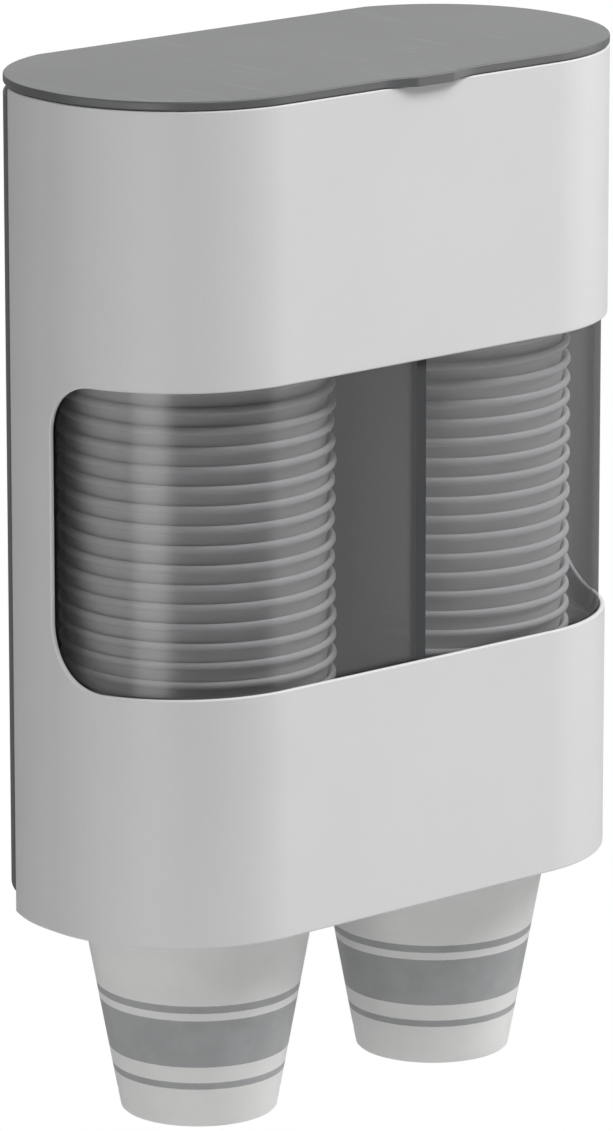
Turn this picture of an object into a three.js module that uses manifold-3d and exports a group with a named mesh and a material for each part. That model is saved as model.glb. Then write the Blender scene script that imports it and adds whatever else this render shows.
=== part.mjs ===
// A wall-hung twin cup dispenser for nested paper cups.
// Millimetres, +Z up, +X to the right and +Y towards the wall, with the front facing -Y.
// The origin lies on the wall face of the back cover, at the middle of the body's width and height.
import * as THREE from "three";
import { mergeVertices } from "three/addons/utils/BufferGeometryUtils.js";
import Module from "manifold-3d";

const wasm = await Module();
wasm.setup();

// Driving sizes

// Room left between pieces that touch, and the overrun of a cut or the sink of a join.
const gap = 0.3;
const overrun = 1;
const sink = 0.2;

// Facets of round work.
const arcSteps = 16;
const cupSides = 16;
const holeSides = 12;
const screwSides = 8;

// Paper cups, nested in two rows of this many.
const cup = {
  count: 27,
  height: 79,
  baseRadius: 20.9,
  wall: 0.5,
  rimRadius: 36.7,
  rimWidth: 1.7,
  rimHeight: 3,
  pitch: 5.22,
};
const rimShares = { corner: 1 / 3, inner: 1 / 6, groove: 1 / 4 };

// Room from the cup rims to the end walls, to the middle of the body and to the front and rear walls.
const room = { end: 9, centre: 5.2, front: 3.6, rear: 8.2 };
const wall = 2.4;

// In plan the body is a rectangle with large round corners, which leave a short flat at each end.
const body = {
  width: 2 * (wall + room.end + 2 * cup.rimRadius + room.centre),
  depth: 2 * (wall + cup.rimRadius) + room.front + room.rear,
  height: 221.3,
  endFlat: 4,
};

// The back cover closes the rear of the body. Its lip reaches into the shell.
const cover = { depth: 24.5, bottom: 5.5, lipWall: 1.5, lipReach: 6, lipRoot: 4.5, lipRise: 1.6, lipDrop: 7.3 };

// The window opening reaches round the front half, and the window overlaps it from inside.
const opening = { bottom: 67.1, topDrop: 73.25, rearInset: 1, lowRound: 17, highRound: 14 };
const pane = { wall: 1.6, recess: 1.7, overlap: 6 };

// Heat-staked posts of the shell hold the window's ears.
const stake = { offset: 14, earWidth: 9, earHeight: 8, postRadius: 1.3, headRadius: 2.3, headHeight: 0.9 };

// Snap barbs on the cover's lip catch in pockets of the shell.
const barb = { depth: 0.8, width: 2.5, length: 10, inset: 1 };
const barbHeightShares = [0.2, 0.5, 0.8];

// The lid lies on the body's mouth, with a locating rim inside it and a finger lip in front.
const lid = {
  thickness: 2.3,
  rearInset: 1.2,
  rimWall: 1.4,
  rimDepth: 4,
  rimPlay: 0.5,
  rimRear: 31,
  lipWidth: 34,
  lipReach: 2.3,
  lipShoulder: 6,
  lipCentre: 2,
  ribWall: 1.2,
  ribDepth: 2,
  ribOffset: 26,
};

// Each hinge is an ear of the cover between two knuckles under the lid, on one steel pin.
const hinge = { endInset: 6.5, setback: 2.9, pinRadius: 0.6 };
const ear = { width: 3, radius: 1.4, root: 12 };
const knuckle = { length: 6.2, radius: 1.7 };

// The base plate carries a collar under each row of cups.
const base = { bottom: 6, thickness: 2.4, mouthPlay: 1.2, collarWall: 1.9, collarRise: 8.4 };

// The soft claw rings lie on the collars, and the clamp plate holds both down.
const claw = { thickness: 1.8, tipPlay: 0.4, rootPlay: 0.3, seat: 1.2, petals: 12, slit: 0.8 };
const clamp = { thickness: 2.5, wallPlay: 0.4, bridgeWidth: 36, bridgeInset: 6, lugRadius: 3, lugPlay: 0.6 };

// One self-tapping screw serves everywhere.
const screw = { headRadius: 2.6, headHeight: 1.7, crownShare: 0.6, shankRadius: 1.3, length: 9 };

// Walls round the screw holes, and how far from the faces the bosses stand.
const clampBoss = { inset: 9, wall: 1.4, endWall: 1 };
const baseBoss = { offset: 12, wall: 1.6, floor: 2 };
const well = { headPlay: 0.6, wall: 1.8, floor: 2 };

// The divider parts the rows and ties the body together.
const divider = { wall: 2, flangeWidth: 3, flangeDepth: 1.8, topDrop: 9.3, bossWall: 1.6, bossFloor: 2 };
const dividerScrewShares = [0.2, 0.82];

// Guide ribs keep each row upright.
const guide = { offset: 14, wall: 1.6, play: 1.2, bottom: 26, topDrop: 10.3, frontRise: 12 };

// Keyholes take the wall screws.
const keyhole = { topDrop: 35.3, headRadius: 4.5, neckRadius: 2.3, travel: 9 };

// Places worked out from these sizes

const sides = { left: -1, right: 1 };
const half = body.depth / 2;
const cornerRadius = (body.depth - body.endFlat) / 2;
const endX = body.width / 2 - cornerRadius;
const cupX = cup.rimRadius + room.centre;
const cupY = -wall - room.rear - cup.rimRadius;
const inner = body.depth - wall;
const far = body.width;
const openingTop = body.height - opening.topDrop;
const openingRear = -half - opening.rearInset;
const lidBottom = body.height + sink;
const lidTop = lidBottom + lid.thickness;
const hingeX = endX - hinge.endInset;
const hingeY = -hinge.setback;
const hingeZ = lidBottom;
// The lid's rear edge swings down past the cover's upper edge.
const coverTop = hingeZ - (hinge.setback - lid.rearInset) - 2 * gap;
const holeRadius = screw.shankRadius + gap;
const mouthRadius = cup.rimRadius + base.mouthPlay;
const baseTop = base.bottom + base.thickness;
const collarTop = baseTop + base.collarRise;
const clawBottom = collarTop + gap;
const clawTop = clawBottom + claw.thickness;
const clampBottom = clawTop + gap;
const clampTop = clampBottom + clamp.thickness;
// The lowest cup hangs by its rim on the claws.
const rimTop = clawTop + gap + cup.rimHeight;
const cupBase = rimTop - cup.height;

// Materials

function plastic(color, roughness) {
  return new THREE.MeshStandardMaterial({ color, roughness, metalness: 0 });
}

const lightPlastic = plastic(0xd3d3d3, 0.5);
const darkPlastic = plastic(0x4c4c4c, 0.55);
const lidPlastic = plastic(0x6e6e6e, 0.4);
const softRubber = plastic(0x9a9a9a, 0.85);
const paper = plastic(0xd8d8d8, 0.8);
const smoked = plastic(0x4a4a4a, 0.15);
smoked.transparent = true;
smoked.opacity = 0.5;
const steel = new THREE.MeshStandardMaterial({ color: 0xa8a8a8, roughness: 0.35, metalness: 1 });

// Solids and booleans

function solid(geometry) {
  const bare = geometry.index ? geometry.toNonIndexed() : geometry.clone();
  bare.deleteAttribute("normal");
  bare.deleteAttribute("uv");
  const merged = mergeVertices(bare);
  return new wasm.Manifold(
    new wasm.Mesh({
      numProp: 3,
      vertProperties: new Float32Array(merged.attributes.position.array),
      triVerts: new Uint32Array(merged.index.array),
    }),
  );
}

function geometryOf(made) {
  const mesh = made.getMesh();
  const geometry = new THREE.BufferGeometry();
  geometry.setAttribute("position", new THREE.BufferAttribute(mesh.vertProperties, 3));
  geometry.setIndex(new THREE.BufferAttribute(mesh.triVerts, 1));
  const flat = geometry.toNonIndexed();
  flat.computeVertexNormals();
  return flat;
}

function join(first, ...others) {
  return others.reduce((all, one) => all.add(one), first);
}

function cut(first, ...others) {
  return others.reduce((all, one) => all.subtract(one), first);
}

// Simple forms, each placed by its limits

function block(x0, x1, y0, y1, z0, z1) {
  const box = new THREE.BoxGeometry(x1 - x0, y1 - y0, z1 - z0);
  return solid(box.translate((x0 + x1) / 2, (y0 + y1) / 2, (z0 + z1) / 2));
}

function prism(shape, z0, z1, steps = arcSteps) {
  const options = { depth: z1 - z0, bevelEnabled: false, curveSegments: steps };
  return solid(new THREE.ExtrudeGeometry(shape, options).translate(0, 0, z0));
}

// A post stands along Z, a peg lies along Y and a rod lies along X.
function post(x, y, z0, z1, radius, facets = holeSides) {
  const drum = new THREE.CylinderGeometry(radius, radius, z1 - z0, facets);
  return solid(drum.rotateX(Math.PI / 2).translate(x, y, (z0 + z1) / 2));
}

function peg(x, z, y0, y1, radius) {
  const drum = new THREE.CylinderGeometry(radius, radius, y1 - y0, holeSides);
  return solid(drum.translate(x, (y0 + y1) / 2, z));
}

function rod(y, z, x0, x1, radius) {
  const drum = new THREE.CylinderGeometry(radius, radius, x1 - x0, holeSides);
  return solid(drum.rotateZ(Math.PI / 2).translate((x0 + x1) / 2, y, z));
}

// Runs an outline round both ends of the body, moved inwards by an inset, and closes it.
function roundEnds(outline, inset) {
  const radius = cornerRadius - inset;
  const rear = -cornerRadius;
  const front = cornerRadius - body.depth;
  outline.absarc(endX, front, radius, -Math.PI / 2, 0);
  outline.absarc(endX, rear, radius, 0, Math.PI / 2);
  outline.absarc(-endX, rear, radius, Math.PI / 2, Math.PI);
  outline.absarc(-endX, front, radius, Math.PI, (3 * Math.PI) / 2);
  return outline.closePath();
}

// A plate with the body's outline in plan.
function plan(inset, z0, z1) {
  return prism(roundEnds(new THREE.Shape(), inset), z0, z1, arcSteps / 2);
}

// A wall that follows the outline between two insets, cut to a box in Y and Z.
function band(outerInset, innerInset, y0, y1, z0, z1) {
  const ring = cut(
    plan(outerInset, z0, z1),
    plan(innerInset, z0 - overrun, z1 + overrun),
  );
  return ring.intersect(block(-far, far, y0, y1, z0 - overrun, z1 + overrun));
}

// A rectangle in side view with its two rear corners rounded, run across the whole width.
function sideCut(rear, bottom, top, lowRound, highRound) {
  const front = -body.depth - overrun;
  const outline = new THREE.Shape();
  outline.moveTo(front, bottom);
  outline.lineTo(rear - lowRound, bottom);
  outline.absarc(rear - lowRound, bottom + lowRound, lowRound, -Math.PI / 2, 0);
  outline.absarc(rear - highRound, top - highRound, highRound, 0, Math.PI / 2);
  outline.lineTo(front, top);
  outline.closePath();
  const options = { depth: 2 * far, bevelEnabled: false, curveSegments: arcSteps / 2 };
  const turn = new THREE.Matrix4().makeBasis(
    new THREE.Vector3(0, 1, 0),
    new THREE.Vector3(0, 0, 1),
    new THREE.Vector3(1, 0, 0),
  );
  const run = new THREE.ExtrudeGeometry(outline, options).applyMatrix4(turn);
  return solid(run.translate(-far, 0, 0));
}

// The window's outline in side view, grown by a margin over the opening.
function paneCut(margin) {
  return sideCut(
    openingRear + margin,
    opening.bottom - margin,
    openingTop + margin,
    opening.lowRound,
    opening.highRound,
  );
}

// A block behind the front wall for each ear of the window, above and below the opening.
function ears(frontInset, backInset, play) {
  const reach = pane.overlap + stake.earHeight + play;
  const wide = stake.earWidth / 2 + play;
  const y0 = -body.depth + frontInset;
  const y1 = -body.depth + backInset;
  return Object.values(sides).flatMap((side) => {
    const x = side * stake.offset;
    return [
      block(x - wide, x + wide, y0, y1, opening.bottom - reach, opening.bottom),
      block(x - wide, x + wide, y0, y1, openingTop, openingTop + reach),
    ];
  });
}

function stakePlaces() {
  const away = pane.overlap + stake.earHeight / 2;
  return Object.values(sides).flatMap((side) => [
    [side * stake.offset, opening.bottom - away],
    [side * stake.offset, openingTop + away],
  ]);
}

// Front shell

function guideRib(x, y0, y1, z0, z1) {
  return block(x - guide.wall / 2, x + guide.wall / 2, y0, y1, z0, z1);
}

// How far a guide rib reaches in from a face of the body that the rows stand so far away from.
function guideDepth(away) {
  const clear = cup.rimRadius + guide.play;
  return away - Math.sqrt(clear ** 2 - guide.offset ** 2);
}

function guideRibs(front, z0, z1) {
  const wallY = wall - sink;
  return Object.values(sides).flatMap((side) =>
    [-guide.offset, guide.offset].map((offset) => {
      const x = side * cupX + offset;
      return front
        ? guideRib(x, -body.depth + wallY, -body.depth + guideDepth(body.depth + cupY), z0, z1)
        : guideRib(x, -guideDepth(-cupY), -wallY, z0, z1);
    }),
  );
}

function barbs(outerInset, play) {
  const y1 = -cover.depth - cover.lipReach + barb.inset + barb.width;
  return barbHeightShares.map((share) => {
    const z = share * body.height;
    return band(
      outerInset,
      wall + gap + cover.lipWall / 2,
      y1 - barb.width - play,
      y1 + play,
      z - barb.length / 2 - play,
      z + barb.length / 2 + play,
    );
  });
}

// Bosses that stand on the inner face of the front or rear wall, for the base screws.
function baseScrewPlaces() {
  const y = wall + baseBossRadius() - sink;
  return {
    front_left: [-baseBoss.offset, -body.depth + y],
    front_right: [baseBoss.offset, -body.depth + y],
    rear_left: [-baseBoss.offset, -y],
    rear_right: [baseBoss.offset, -y],
  };
}

function baseBossRadius() {
  return holeRadius + baseBoss.wall;
}

function baseBosses(names) {
  const z0 = baseTop + gap;
  const pilot = screw.length - base.thickness;
  return names.map((name) => {
    const [x, y] = baseScrewPlaces()[name];
    const boss = post(x, y, z0, z0 + pilot + baseBoss.floor, baseBossRadius());
    return cut(boss, post(x, y, z0 - overrun, z0 + pilot, holeRadius));
  });
}

function frontShell() {
  const skin = band(0, wall, -body.depth - overrun, -cover.depth, 0, body.height);
  const lipInset = pane.recess - gap;
  const seat = band(
    lipInset,
    wall + overrun,
    -body.depth,
    openingRear + pane.overlap + gap,
    opening.bottom - pane.overlap - gap,
    openingTop + pane.overlap + gap,
  );
  const shell = cut(
    skin,
    paneCut(0),
    seat.intersect(paneCut(pane.overlap + gap)),
    ...ears(lipInset, wall + overrun, gap),
    ...barbs(wall - barb.depth - gap, gap),
  );
  const paneBack = -body.depth + pane.recess + pane.wall;
  const stakes = stakePlaces().flatMap(([x, z]) => [
    peg(x, z, -body.depth + lipInset - sink, paneBack + gap + sink, stake.postRadius),
    peg(x, z, paneBack + gap, paneBack + gap + stake.headHeight, stake.headRadius),
  ]);
  return join(
    shell,
    ...stakes,
    ...guideRibs(true, openingTop + guide.frontRise, body.height - guide.topDrop),
    ...baseBosses(["front_left", "front_right"]),
  );
}

// Window

function smokedWindow() {
  const inset = pane.recess;
  const sheet = band(
    inset,
    inset + pane.wall,
    -body.depth,
    openingRear + pane.overlap,
    opening.bottom - pane.overlap,
    openingTop + pane.overlap,
  ).intersect(paneCut(pane.overlap));
  const holes = stakePlaces().map(([x, z]) =>
    peg(x, z, -body.depth, -body.depth + half, stake.postRadius + gap),
  );
  return cut(join(sheet, ...ears(inset, inset + pane.wall, 0)), ...holes);
}

// Back cover

function keyholeCut(x) {
  const neck = keyhole.neckRadius;
  const z0 = body.height - keyhole.topDrop;
  const z1 = z0 + keyhole.travel;
  const through = wall + overrun;
  return join(
    peg(x, z0, -through, overrun, keyhole.headRadius),
    peg(x, z1, -through, overrun, neck),
    block(x - neck, x + neck, -through, overrun, z0, z1),
  );
}

function dividerScrewHeights() {
  return dividerScrewShares.map((share) => share * body.height);
}

function hingeEar(side) {
  const x0 = side * hingeX - ear.width / 2;
  const x1 = side * hingeX + ear.width / 2;
  const y0 = hingeY - ear.radius;
  const y1 = hingeY + ear.radius;
  return cut(
    join(rod(hingeY, hingeZ, x0, x1, ear.radius), block(x0, x1, y0, y1, coverTop - ear.root, hingeZ)),
    rod(hingeY, hingeZ, x0 - overrun, x1 + overrun, hinge.pinRadius + gap),
  );
}

function backCover() {
  const front = -cover.depth + gap;
  const lipOuter = wall + gap;
  const lipInner = lipOuter + cover.lipWall;
  const lipFront = -cover.depth - cover.lipReach;
  const lipRear = -cover.depth + cover.lipRoot;
  const lipBottom = baseTop + cover.lipRise;
  const lipTop = body.height - cover.lipDrop;
  const skin = band(0, wall, front, overrun, cover.bottom, coverTop);
  const lip = band(lipOuter, lipInner, lipFront, lipRear, lipBottom, lipTop);
  const root = band(wall - gap, lipInner, front, lipRear, lipBottom, lipTop);
  const floor = wall + well.floor;
  const pocket = screw.headRadius + well.headPlay;
  const wells = dividerScrewHeights().map((z) => peg(0, z, -floor, -sink, pocket + well.wall));
  const pockets = dividerScrewHeights().flatMap((z) => [
    peg(0, z, -wall, overrun, pocket),
    peg(0, z, -floor - overrun, 0, holeRadius),
  ]);
  return cut(
    join(
      skin,
      lip,
      root,
      ...barbs(wall - barb.depth, 0),
      ...guideRibs(false, guide.bottom, body.height - guide.topDrop),
      ...baseBosses(["rear_left", "rear_right"]),
      ...wells,
      ...Object.values(sides).map(hingeEar),
    ),
    ...pockets,
    ...Object.values(sides).map((side) => keyholeCut(side * cupX)),
  );
}

// Divider

function dividerWall() {
  const front = -body.depth + pane.recess + pane.wall + gap;
  const rear = -wall - well.floor - gap;
  const bottom = clampTop + gap;
  const top = body.height - divider.topDrop;
  const middle = divider.wall / 2;
  const flange = divider.flangeWidth / 2;
  const pilot = screw.length - well.floor;
  const bosses = dividerScrewHeights().map((z) =>
    peg(0, z, rear - pilot - divider.bossFloor, rear, holeRadius + divider.bossWall),
  );
  const holes = dividerScrewHeights().map((z) => peg(0, z, rear - pilot, rear + overrun, holeRadius));
  // The heads of two clamp screws stand under the divider.
  const headTop = bottom + screw.headHeight + gap;
  const headRooms = ["front", "rear"].map((name) => {
    const [x, y] = clampScrewPlaces()[name];
    return post(x, y, bottom - overrun, headTop, screw.headRadius + gap);
  });
  return cut(
    join(
      block(-middle, middle, front, rear, bottom, top),
      block(-flange, flange, front, front + divider.flangeDepth, bottom, top),
      block(-flange, flange, rear - divider.flangeDepth, rear, bottom, top),
      ...bosses,
    ),
    ...holes,
    ...headRooms,
  );
}

// Base plate

function clampScrewPlaces() {
  const end = body.width / 2 - wall - clamp.lugPlay - clamp.lugRadius;
  return {
    front: [0, -body.depth + clampBoss.inset, clampBoss.wall],
    rear: [0, -clampBoss.inset, clampBoss.wall],
    left: [-end, cupY, clampBoss.endWall],
    right: [end, cupY, clampBoss.endWall],
  };
}

// A post in the middle of each row.
function rowPosts(z0, z1, radius) {
  return Object.values(sides).map((side) => post(side * cupX, cupY, z0, z1, radius, 2 * arcSteps));
}

function basePlate() {
  const plate = plan(wall + gap, base.bottom, baseTop);
  const bosses = Object.values(clampScrewPlaces()).map(([x, y, around]) =>
    post(x, y, baseTop - sink, clampBottom - gap, holeRadius + around),
  );
  const pilots = Object.values(clampScrewPlaces()).map(([x, y]) =>
    post(x, y, baseTop, clampTop, holeRadius),
  );
  const holes = Object.values(baseScrewPlaces()).map(([x, y]) =>
    post(x, y, base.bottom - overrun, baseTop + overrun, holeRadius),
  );
  return cut(
    join(plate, ...rowPosts(base.bottom, collarTop, mouthRadius + base.collarWall), ...bosses),
    ...rowPosts(base.bottom - overrun, clampTop, mouthRadius),
    ...pilots,
    ...holes,
  );
}

// Claw rings

function clawRing(side) {
  const tip = wallRadius(clawTop - cupBase) + claw.tipPlay;
  const root = mouthRadius + claw.rootPlay;
  const step = (2 * Math.PI) / claw.petals;
  const outline = new THREE.Shape();
  outline.absarc(0, 0, mouthRadius + claw.seat, 0, 2 * Math.PI);
  const points = [];
  for (let petal = 0; petal < claw.petals; petal += 1) {
    const start = petal * step;
    const atTip = claw.slit / 2 / tip;
    const atRoot = claw.slit / 2 / root;
    const petalPoints = [
      [root, start + atRoot],
      [tip, start + atTip],
      [tip, start + step / 2],
      [tip, start + step - atTip],
      [root, start + step - atRoot],
    ];
    for (const [radius, angle] of petalPoints) {
      points.push(new THREE.Vector2(radius * Math.cos(angle), radius * Math.sin(angle)));
    }
  }
  outline.holes.push(new THREE.Path(points).closePath());
  const ring = prism(outline, clawBottom, clawTop).translate([side * cupX, cupY, 0]);
  const bosses = Object.values(clampScrewPlaces()).map(([x, y, around]) =>
    post(x, y, collarTop, clampBottom, holeRadius + around + gap),
  );
  return cut(ring, ...bosses);
}

// Clamp plate over both claw rings

function clampPlate() {
  const z0 = clampBottom;
  const z1 = clampTop;
  const bridge = clamp.bridgeWidth / 2;
  const lugs = ["left", "right"].map((name) => {
    const [x, y] = clampScrewPlaces()[name];
    return post(x, y, z0, z1, clamp.lugRadius);
  });
  const holes = Object.values(clampScrewPlaces()).map(([x, y]) =>
    post(x, y, z0 - overrun, z1 + overrun, holeRadius),
  );
  return cut(
    join(
      block(-bridge, bridge, -body.depth + clamp.bridgeInset, -clamp.bridgeInset, z0, z1),
      ...rowPosts(z0, z1, cup.rimRadius + room.front - clamp.wallPlay),
      ...lugs,
    ),
    ...rowPosts(z0 - overrun, z1 + overrun, mouthRadius),
    ...holes,
  );
}

// Lid

function lidOutline() {
  const front = -body.depth;
  const shoulder = lid.lipShoulder;
  const x0 = lid.lipCentre - lid.lipWidth / 2;
  const x1 = lid.lipCentre + lid.lipWidth / 2;
  const lipFront = front - lid.lipReach;
  const outline = new THREE.Shape();
  outline.moveTo(x0, front);
  outline.bezierCurveTo(x0 + shoulder / 2, front, x0 + shoulder / 2, lipFront, x0 + shoulder, lipFront);
  outline.lineTo(x1 - shoulder, lipFront);
  outline.bezierCurveTo(x1 - shoulder / 2, lipFront, x1 - shoulder / 2, front, x1, front);
  return roundEnds(outline, 0);
}

// Stiffening ribs under the lid: one along it and three across it.
function lidRibs() {
  const z0 = lidBottom - lid.ribDepth;
  const z1 = lidBottom + sink;
  const rib = lid.ribWall / 2;
  const toRim = wall + lid.rimPlay + lid.rimWall / 2;
  const reach = body.width / 2 - toRim;
  const long = block(-reach, reach, -half - rib, -half + rib, z0, z1);
  const short = [-lid.ribOffset, 0, lid.ribOffset].map((x) =>
    block(x - rib, x + rib, -body.depth + toRim, -lid.rimRear, z0, z1),
  );
  return [long, ...short];
}

function lidPlate() {
  const rimOuter = wall + lid.rimPlay;
  const plate = cut(
    prism(lidOutline(), lidBottom, lidTop, arcSteps / 2),
    block(-far, far, -lid.rearInset, overrun, lidBottom - overrun, lidTop + overrun),
  );
  const rim = band(
    rimOuter,
    rimOuter + lid.rimWall,
    -body.depth,
    -lid.rimRear,
    lidBottom - lid.rimDepth,
    lidBottom + sink,
  );
  const reach = ear.width / 2 + gap;
  const knuckles = Object.values(sides).map((side) => {
    const x = side * hingeX;
    const length = reach + knuckle.length;
    return rod(hingeY, hingeZ, x - length, x + length, knuckle.radius);
  });
  // A thin skin of the lid stays over each ear.
  const slots = Object.values(sides).flatMap((side) => {
    const x = side * hingeX;
    const length = reach + knuckle.length + overrun;
    const slotFront = hingeY - ear.radius - gap;
    const slotTop = hingeZ + ear.radius + gap;
    return [
      block(x - reach, x + reach, slotFront, overrun, lidBottom - lid.rimDepth, slotTop),
      rod(hingeY, hingeZ, x - length, x + length, hinge.pinRadius + gap),
    ];
  });
  return cut(join(plate, rim, ...knuckles, ...lidRibs()), ...slots);
}

function hingePin(side) {
  const x = side * hingeX;
  const length = ear.width / 2 + knuckle.length;
  return rod(hingeY, hingeZ, x - length, x + length, hinge.pinRadius);
}

// Cups

// The outer wall of one cup at a height above its own base.
function wallRadius(height) {
  const topRadius = cup.rimRadius - cup.rimWidth + cup.wall;
  return cup.baseRadius + ((topRadius - cup.baseRadius) * height) / cup.height;
}

function turned(points, sidesAround) {
  const profile = points.map(([radius, height]) => new THREE.Vector2(radius, height));
  return solid(new THREE.LatheGeometry(profile, sidesAround).rotateX(Math.PI / 2));
}

// A cup stands on the floor of the one below it, so the hollow of its foot sets the nesting pitch.
function footHeight() {
  return cup.pitch - cup.wall - gap;
}

// Foot and outer wall, from the axis to just under the rim. The foot is hollow, as on a rolled cup.
function footPoints(foot) {
  const inside = cup.baseRadius - 2 * cup.wall;
  const underRim = cup.height - cup.rimHeight;
  return [
    [0, foot + footHeight()],
    [inside, foot + footHeight()],
    [inside, foot],
    [cup.baseRadius, foot],
    [wallRadius(underRim), foot + underRim],
  ];
}

// The rolled rim, as a section with flats, up to a cup's top.
function rimPoints(top) {
  const inside = cup.rimRadius - cup.rimWidth;
  const middle = cup.rimRadius - rimShares.corner * cup.rimWidth;
  const corner = rimShares.corner * cup.rimHeight;
  return [
    [middle, top - cup.rimHeight],
    [cup.rimRadius, top - cup.rimHeight + corner],
    [cup.rimRadius, top - corner],
    [middle, top],
    [inside, top - rimShares.inner * cup.rimHeight],
  ];
}

// The inside of a cup, from under its rim down to its floor.
function hollowPoints(foot) {
  const floor = footHeight() + cup.wall;
  return [
    [wallRadius(floor) - cup.wall, foot + floor],
    [0, foot + floor],
  ];
}

function bottomCup() {
  return turned([...footPoints(cupBase), ...rimPoints(rimTop), ...hollowPoints(cupBase)], cupSides);
}

// The rest of a row moves as one, so its nested cups are one piece: a saw-toothed outside of rims,
// and the top cup's hollow inside.
function cupStack() {
  const more = cup.count - 1;
  const first = cupBase + cup.pitch;
  const groove = cup.rimRadius - cup.rimWidth - cup.wall / 2;
  const edge = rimShares.groove * cup.rimHeight;
  const points = footPoints(first);
  for (let place = 1; place <= more; place += 1) {
    const top = rimTop + place * cup.pitch;
    if (place === more) {
      points.push(...rimPoints(top));
    } else {
      points.push(
        [cup.rimRadius, top - cup.rimHeight + edge],
        [cup.rimRadius, top - edge],
        [groove, top + (cup.pitch - cup.rimHeight) / 2],
      );
    }
  }
  points.push(...hollowPoints(cupBase + more * cup.pitch));
  return turned(points, cupSides);
}

// Screws: the head's underside lies at the origin and the shank points along -Z.

function screwForm() {
  const crown = screw.crownShare * screw.headRadius;
  return turned(
    [
      [0, -screw.length],
      [screw.shankRadius, -screw.length + screw.shankRadius],
      [screw.shankRadius, 0],
      [screw.headRadius, 0],
      [screw.headRadius, screw.headHeight / 2],
      [crown, screw.headHeight],
      [0, screw.headHeight],
    ],
    screwSides,
  );
}

// Assembly

const assembly = new THREE.Group();
assembly.position.z = -body.height / 2;

function add(name, made, material) {
  const mesh = new THREE.Mesh(geometryOf(made), material);
  mesh.name = name;
  assembly.add(mesh);
  return mesh;
}

add("front_shell", frontShell(), lightPlastic);
add("smoked_window", smokedWindow(), smoked);
add("back_cover", backCover(), darkPlastic);
add("divider", dividerWall(), darkPlastic);
add("base_plate", basePlate(), lightPlastic);
add("clamp_plate", clampPlate(), darkPlastic);
add("lid", lidPlate(), lidPlastic);

for (const [name, side] of Object.entries(sides)) {
  add(name + "_claw_ring", clawRing(side), softRubber);
  add(name + "_hinge_pin", hingePin(side), steel);
  const lowest = add(name + "_bottom_cup", bottomCup(), paper);
  const stack = add(name + "_cup_stack", cupStack(), paper);
  lowest.position.set(side * cupX, cupY, 0);
  stack.position.set(side * cupX, cupY, 0);
}

for (const [name, [x, y]] of Object.entries(clampScrewPlaces())) {
  add("clamp_screw_" + name, screwForm(), steel).position.set(x, y, clampTop + gap);
}

for (const [name, [x, y]] of Object.entries(baseScrewPlaces())) {
  const mesh = add("base_screw_" + name, screwForm(), steel);
  mesh.position.set(x, y, base.bottom - gap);
  mesh.rotation.x = Math.PI;
}

dividerScrewHeights().forEach((z, place) => {
  const mesh = add("divider_screw_" + ["lower", "upper"][place], screwForm(), steel);
  mesh.position.set(0, -wall + gap, z);
  mesh.rotation.x = -Math.PI / 2;
});

export default assembly;
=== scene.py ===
"""A wall-hung twin dispenser for nested paper cups, dressed for rendering.

All sizes are in metres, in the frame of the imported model: +X to the right, +Y into the wall and
+Z up, with the origin on the wall face at the middle of the body.
"""

import math
import random
from contextlib import contextmanager
from functools import partial

import bmesh
import bpy
from mathutils import Euler, Matrix, Vector


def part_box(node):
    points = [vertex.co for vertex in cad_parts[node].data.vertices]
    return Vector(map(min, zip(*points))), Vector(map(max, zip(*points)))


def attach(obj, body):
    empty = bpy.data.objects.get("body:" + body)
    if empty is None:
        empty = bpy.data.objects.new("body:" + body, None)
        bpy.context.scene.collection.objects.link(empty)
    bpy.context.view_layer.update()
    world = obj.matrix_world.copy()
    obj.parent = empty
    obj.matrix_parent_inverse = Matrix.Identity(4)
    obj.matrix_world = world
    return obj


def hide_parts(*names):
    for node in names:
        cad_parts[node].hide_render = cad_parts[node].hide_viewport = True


bl_info = {
    "name": "Cup dispenser",
    "version": (1, 0, 0),
    "blender": (4, 5, 0),
    "location": "View3D > Sidebar > Cup dispenser",
    "description": "Builds a twin dispenser for paper cups, piece by piece",
    "category": "Object",
}

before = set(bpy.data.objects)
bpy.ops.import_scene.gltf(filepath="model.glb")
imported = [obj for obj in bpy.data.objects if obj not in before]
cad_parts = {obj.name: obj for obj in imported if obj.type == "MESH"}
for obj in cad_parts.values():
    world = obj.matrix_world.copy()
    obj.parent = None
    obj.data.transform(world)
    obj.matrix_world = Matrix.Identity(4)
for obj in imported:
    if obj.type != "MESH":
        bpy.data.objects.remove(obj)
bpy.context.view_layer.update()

MM = 0.001
SIDES = {"left": -1, "right": 1}

# In plan the body is a rectangle with large round corners, which leave a short flat at each end.
BODY_LOW, BODY_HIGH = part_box("front_shell")
LID_LOW, LID_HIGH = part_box("lid")
COVER_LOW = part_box("back_cover")[0]
CUP_LOW, CUP_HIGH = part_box("right_bottom_cup")
BASE_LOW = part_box("base_plate")[0]
CLAMP_LOW, CLAMP_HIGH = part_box("clamp_plate")
CLAW_LOW, CLAW_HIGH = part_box("right_claw_ring")
HALF_WIDTH = BODY_HIGH.x
FRONT = BODY_LOW.y
MIDDLE_Y = FRONT / 2
END_FLAT = 4 * MM
CORNER = -MIDDLE_Y - END_FLAT / 2
END_X = HALF_WIDTH - CORNER
BOTTOM = BODY_LOW.z
TOP = BODY_HIGH.z
ROW_X = (CUP_LOW.x + CUP_HIGH.x) / 2
ROW_Y = (CUP_LOW.y + CUP_HIGH.y) / 2
# Farther out than any piece reaches.
FAR = 0.3

# The lid's hinge axis lies level with its underside.
HINGE_X = END_X - 6.5 * MM
HINGE_Y = -2.9 * MM
HINGE_Z = LID_LOW.z + 4 * MM
HINGE_BORE = 0.9 * MM

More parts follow.
